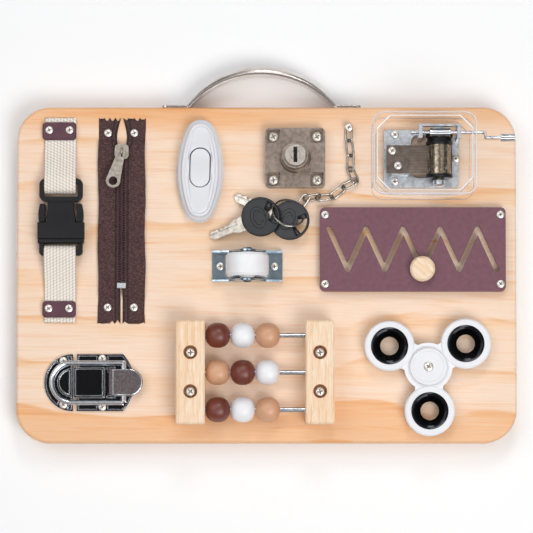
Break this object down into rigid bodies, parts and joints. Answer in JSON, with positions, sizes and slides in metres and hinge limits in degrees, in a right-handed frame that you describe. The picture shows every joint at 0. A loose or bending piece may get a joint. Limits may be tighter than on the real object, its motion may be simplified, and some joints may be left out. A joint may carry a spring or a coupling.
{
  "type": "busy board",
  "caption": "Flat pine board with a carry handle that holds small household mechanisms to work: buckle, zip, switch, lock, keys, roller, music box, maze, abacus, latch and spinner.",
  "frame": {"origin": "centre of the board's flat back face, with the board lying on it", "axes": "+Z out of the board's front, +Y toward the carry handle, +X to the right as the front is seen"},
  "size_m": [0.3, 0.2277, 0.0548],
  "materials": {
    "pine": "clear-sealed pine, horizontal grain",
    "post_wood": "sanded beech, clear lacquer",
    "knob_wood": "sanded beech, clear lacquer",
    "handle_steel": "satin nickel plated steel",
    "webbing": "woven cream webbing",
    "tab_leather": "smooth plum leather",
    "buckle_plastic": "black acetal, fine matte",
    "zip_tape": "woven wine-brown tape",
    "zip_coil": "dark nylon coil",
    "nickel": "aged nickel",
    "stop_metal": "white metal",
    "switch_plastic": "white polycarbonate, satin gloss",
    "antique_nickel": "mottled antique nickel",
    "plug_nickel": "antique nickel, turned",
    "link_steel": "bright zinc plated wire",
    "key_plastic": "black moulded head",
    "key_metal": "nickel plated brass",
    "zinc_blue": "blue zinc plated sheet",
    "nylon_white": "white nylon",
    "clear_case": "clear acrylic",
    "die_cast": "bare zinc die casting",
    "comb_steel": "ground spring steel",
    "barrel_brass": "pale nickel-washed brass",
    "gear_plastic": "black acetal",
    "crank_steel": "bright steel",
    "maze_paint": "plum lacquer, satin",
    "rod_steel": "bright steel rod",
    "bead_brown": "brown lacquered bead",
    "bead_white": "white lacquered bead",
    "bead_tan": "tan lacquered bead",
    "latch_chrome": "polished chrome plate",
    "spinner_white": "white ABS",
    "ring_black": "black polished ring",
    "bearing_steel": "ground bearing steel",
    "screw_steel": "nickel plated screws"
  },
  "bodies": {
    "base": {"board": "pine", "carry_handle": "handle_steel", "strap_upper": "webbing", "strap_lower": "webbing", "strap_tabs": "tab_leather", "buckle_female": "buckle_plastic", "zip_tapes": "zip_tape", "zip_coil": "zip_coil", "zip_stop": "stop_metal", "switch_base": "switch_plastic", "switch_cover": "switch_plastic", "lock_housing": "antique_nickel", "chain_anchor_link": "link_steel", "roller_bracket": "zinc_blue", "roller_pin": "zinc_blue", "music_case": "clear_case", "music_frame": "die_cast", "music_comb": "comb_steel", "maze_plate": "maze_paint", "abacus_posts": "post_wood", "abacus_rods": "rod_steel", "latch_catch_plate": "latch_chrome", "latch_base_plate": "latch_chrome", "spinner_hub": "spinner_white", "small_screws": "screw_steel", "large_screws": "screw_steel"},
    "buckle_male": {"buckle_male": "buckle_plastic", "buckle_prongs": "buckle_plastic"},
    "zip_slider": {"zip_slider": "nickel"},
    "zip_pull": {"zip_pull": "nickel"},
    "switch_rocker": {"switch_rocker": "switch_plastic"},
    "lock_plug": {"lock_plug": "plug_nickel"},
    "lock_bolt": {"lock_bolt": "plug_nickel"},
    "key_chain": {"key_chain": "link_steel"},
    "key_ring": {"key_ring": "link_steel"},
    "key_front": {"key_front_head": "key_plastic", "key_front_blade": "key_metal"},
    "key_rear": {"key_rear_head": "key_plastic", "key_rear_blade": "key_metal"},
    "roller_wheel": {"roller_wheel": "nylon_white"},
    "music_barrel": {"music_barrel": "barrel_brass", "barrel_gear": "gear_plastic"},
    "music_crank": {"music_crank": "crank_steel"},
    "crank_grip": {"crank_grip": "crank_steel"},
    "maze_knob": {"maze_knob": "knob_wood"},
    "latch_lever": {"latch_lever": "latch_chrome"},
    "latch_bail": {"latch_bail": "latch_chrome"},
    "spinner": {"spinner_body": "spinner_white", "spinner_rings": "ring_black", "spinner_bearing": "bearing_steel"},
    "bead_top_left": {"bead_top_left": "bead_brown"},
    "bead_top_middle": {"bead_top_middle": "bead_white"},
    "bead_top_right": {"bead_top_right": "bead_tan"},
    "bead_middle_left": {"bead_middle_left": "bead_tan"},
    "bead_middle_middle": {"bead_middle_middle": "bead_brown"},
    "bead_middle_right": {"bead_middle_right": "bead_white"},
    "bead_low_left": {"bead_low_left": "bead_brown"},
    "bead_low_middle": {"bead_low_middle": "bead_white"},
    "bead_low_right": {"bead_low_right": "bead_tan"}
  },
  "joints": [
    {"name": "buckle_slide", "type": "slide", "parent": "base", "child": "buckle_male", "axis": [0, -1, 0], "range_m": [0, 0.022], "deforming": ["strap_lower", "buckle_prongs"]},
    {"name": "zip_slide", "type": "slide", "parent": "base", "child": "zip_slider", "axis": [0, -1, 0], "range_m": [0, 0.074], "deforming": ["zip_coil"]},
    {"name": "pull_swing", "type": "hinge", "parent": "zip_slider", "child": "zip_pull", "pos_m": [-0.0869, 0.0737, 0.02405], "axis": [-0.9613, 0.2756, 0], "range_deg": [0, 150]},
    {"name": "rocker_tip", "type": "hinge", "parent": "base", "child": "switch_rocker", "pos_m": [-0.03977, 0.0636, 0.0258], "axis": [0.9998, -0.0209, 0], "range_deg": [-8, 0]},
    {"name": "plug_turn", "type": "hinge", "parent": "base", "child": "lock_plug", "pos_m": [0.0172, 0.0698, 0.03], "axis": [0, 0, 1], "range_deg": [0, 180]},
    {"name": "bolt_slide", "type": "slide", "parent": "base", "child": "lock_bolt", "axis": [0, 1, 0], "range_m": [0, 0.00801]},
    {"name": "chain_swing", "type": "hinge", "parent": "base", "child": "key_chain", "pos_m": [0.0497, 0.0805, 0.0202], "axis": [-1, 0, 0], "range_deg": [0, 45]},
    {"name": "ring_swing", "type": "hinge", "parent": "key_chain", "child": "key_ring", "pos_m": [0.0196, 0.0403, 0.0206], "axis": [-0.64, 0.7684, 0], "range_deg": [0, 12]},
    {"name": "front_key_swing", "type": "hinge", "parent": "key_ring", "child": "key_front", "pos_m": [0.0039, 0.037, 0.0274], "axis": [-0.3502, 0.9367, 0], "range_deg": [0, 16]},
    {"name": "rear_key_swing", "type": "hinge", "parent": "key_ring", "child": "key_rear", "pos_m": [0.0213, 0.0314, 0.0264], "axis": [-0.1543, 0.058, 0.9863], "range_deg": [0, 24]},
    {"name": "wheel_spin", "type": "hinge", "parent": "base", "child": "roller_wheel", "pos_m": [-0.0115, 0.0048, 0.0324], "axis": [0, 1, 0], "continuous": true},
    {"name": "barrel_spin", "type": "hinge", "parent": "base", "child": "music_barrel", "pos_m": [0.1033, 0.07, 0.0304], "axis": [0, 1, 0], "continuous": true},
    {"name": "crank_spin", "type": "hinge", "parent": "base", "child": "music_crank", "pos_m": [0.12, 0.0831, 0.0413], "axis": [1, 0, 0], "continuous": true},
    {"name": "grip_spin", "type": "hinge", "parent": "music_crank", "child": "crank_grip", "pos_m": [0.145, 0.0787, 0.05246], "axis": [1, 0, 0], "continuous": true},
    {"name": "knob_slide", "type": "slide", "parent": "base", "child": "maze_knob", "axis": [0.415, 0.9098, 0], "range_m": [0, 0.02681]},
    {"name": "bead_top_left_slide", "type": "slide", "parent": "base", "child": "bead_top_left", "axis": [-1, 0, 0], "range_m": [-0.0148, 0]},
    {"name": "bead_top_middle_slide", "type": "slide", "parent": "bead_top_left", "child": "bead_top_middle", "axis": [1, 0, 0], "range_m": [0, 0.0074]},
    {"name": "bead_top_right_slide", "type": "slide", "parent": "bead_top_middle", "child": "bead_top_right", "axis": [1, 0, 0], "range_m": [0, 0.0074]},
    {"name": "bead_middle_left_slide", "type": "slide", "parent": "base", "child": "bead_middle_left", "axis": [-1, 0, 0], "range_m": [-0.0148, 0]},
    {"name": "bead_middle_middle_slide", "type": "slide", "parent": "bead_middle_left", "child": "bead_middle_middle", "axis": [1, 0, 0], "range_m": [0, 0.0074]},
    {"name": "bead_middle_right_slide", "type": "slide", "parent": "bead_middle_middle", "child": "bead_middle_right", "axis": [1, 0, 0], "range_m": [0, 0.0074]},
    {"name": "bead_low_left_slide", "type": "slide", "parent": "base", "child": "bead_low_left", "axis": [-1, 0, 0], "range_m": [-0.0148, 0]},
    {"name": "bead_low_middle_slide", "type": "slide", "parent": "bead_low_left", "child": "bead_low_middle", "axis": [1, 0, 0], "range_m": [0, 0.0074]},
    {"name": "bead_low_right_slide", "type": "slide", "parent": "bead_low_middle", "child": "bead_low_right", "axis": [1, 0, 0], "range_m": [0, 0.0074]},
    {"name": "lever_lift", "type": "hinge", "parent": "base", "child": "latch_lever", "pos_m": [-0.093, -0.065, 0.0218], "axis": [0, -1, 0], "range_deg": [0, 100]},
    {"name": "bail_level", "type": "hinge", "parent": "latch_lever", "child": "latch_bail", "pos_m": [-0.0855, -0.065, 0.0218], "axis": [0, -1, 0], "range_deg": [-100, 0]},
    {"name": "spinner_spin", "type": "hinge", "parent": "base", "child": "spinner", "pos_m": [0.0966, -0.0558, 0.0245], "axis": [0, 0, 1], "continuous": true}
  ],
  "couplings": [
    {"joint": "bolt_slide", "follows": "plug_turn", "m_per_rad": 0.002546},
    {"joint": "barrel_spin", "follows": "crank_spin", "ratio": -0.05},
    {"joint": "bail_level", "follows": "lever_lift", "ratio": -1}
  ]
}
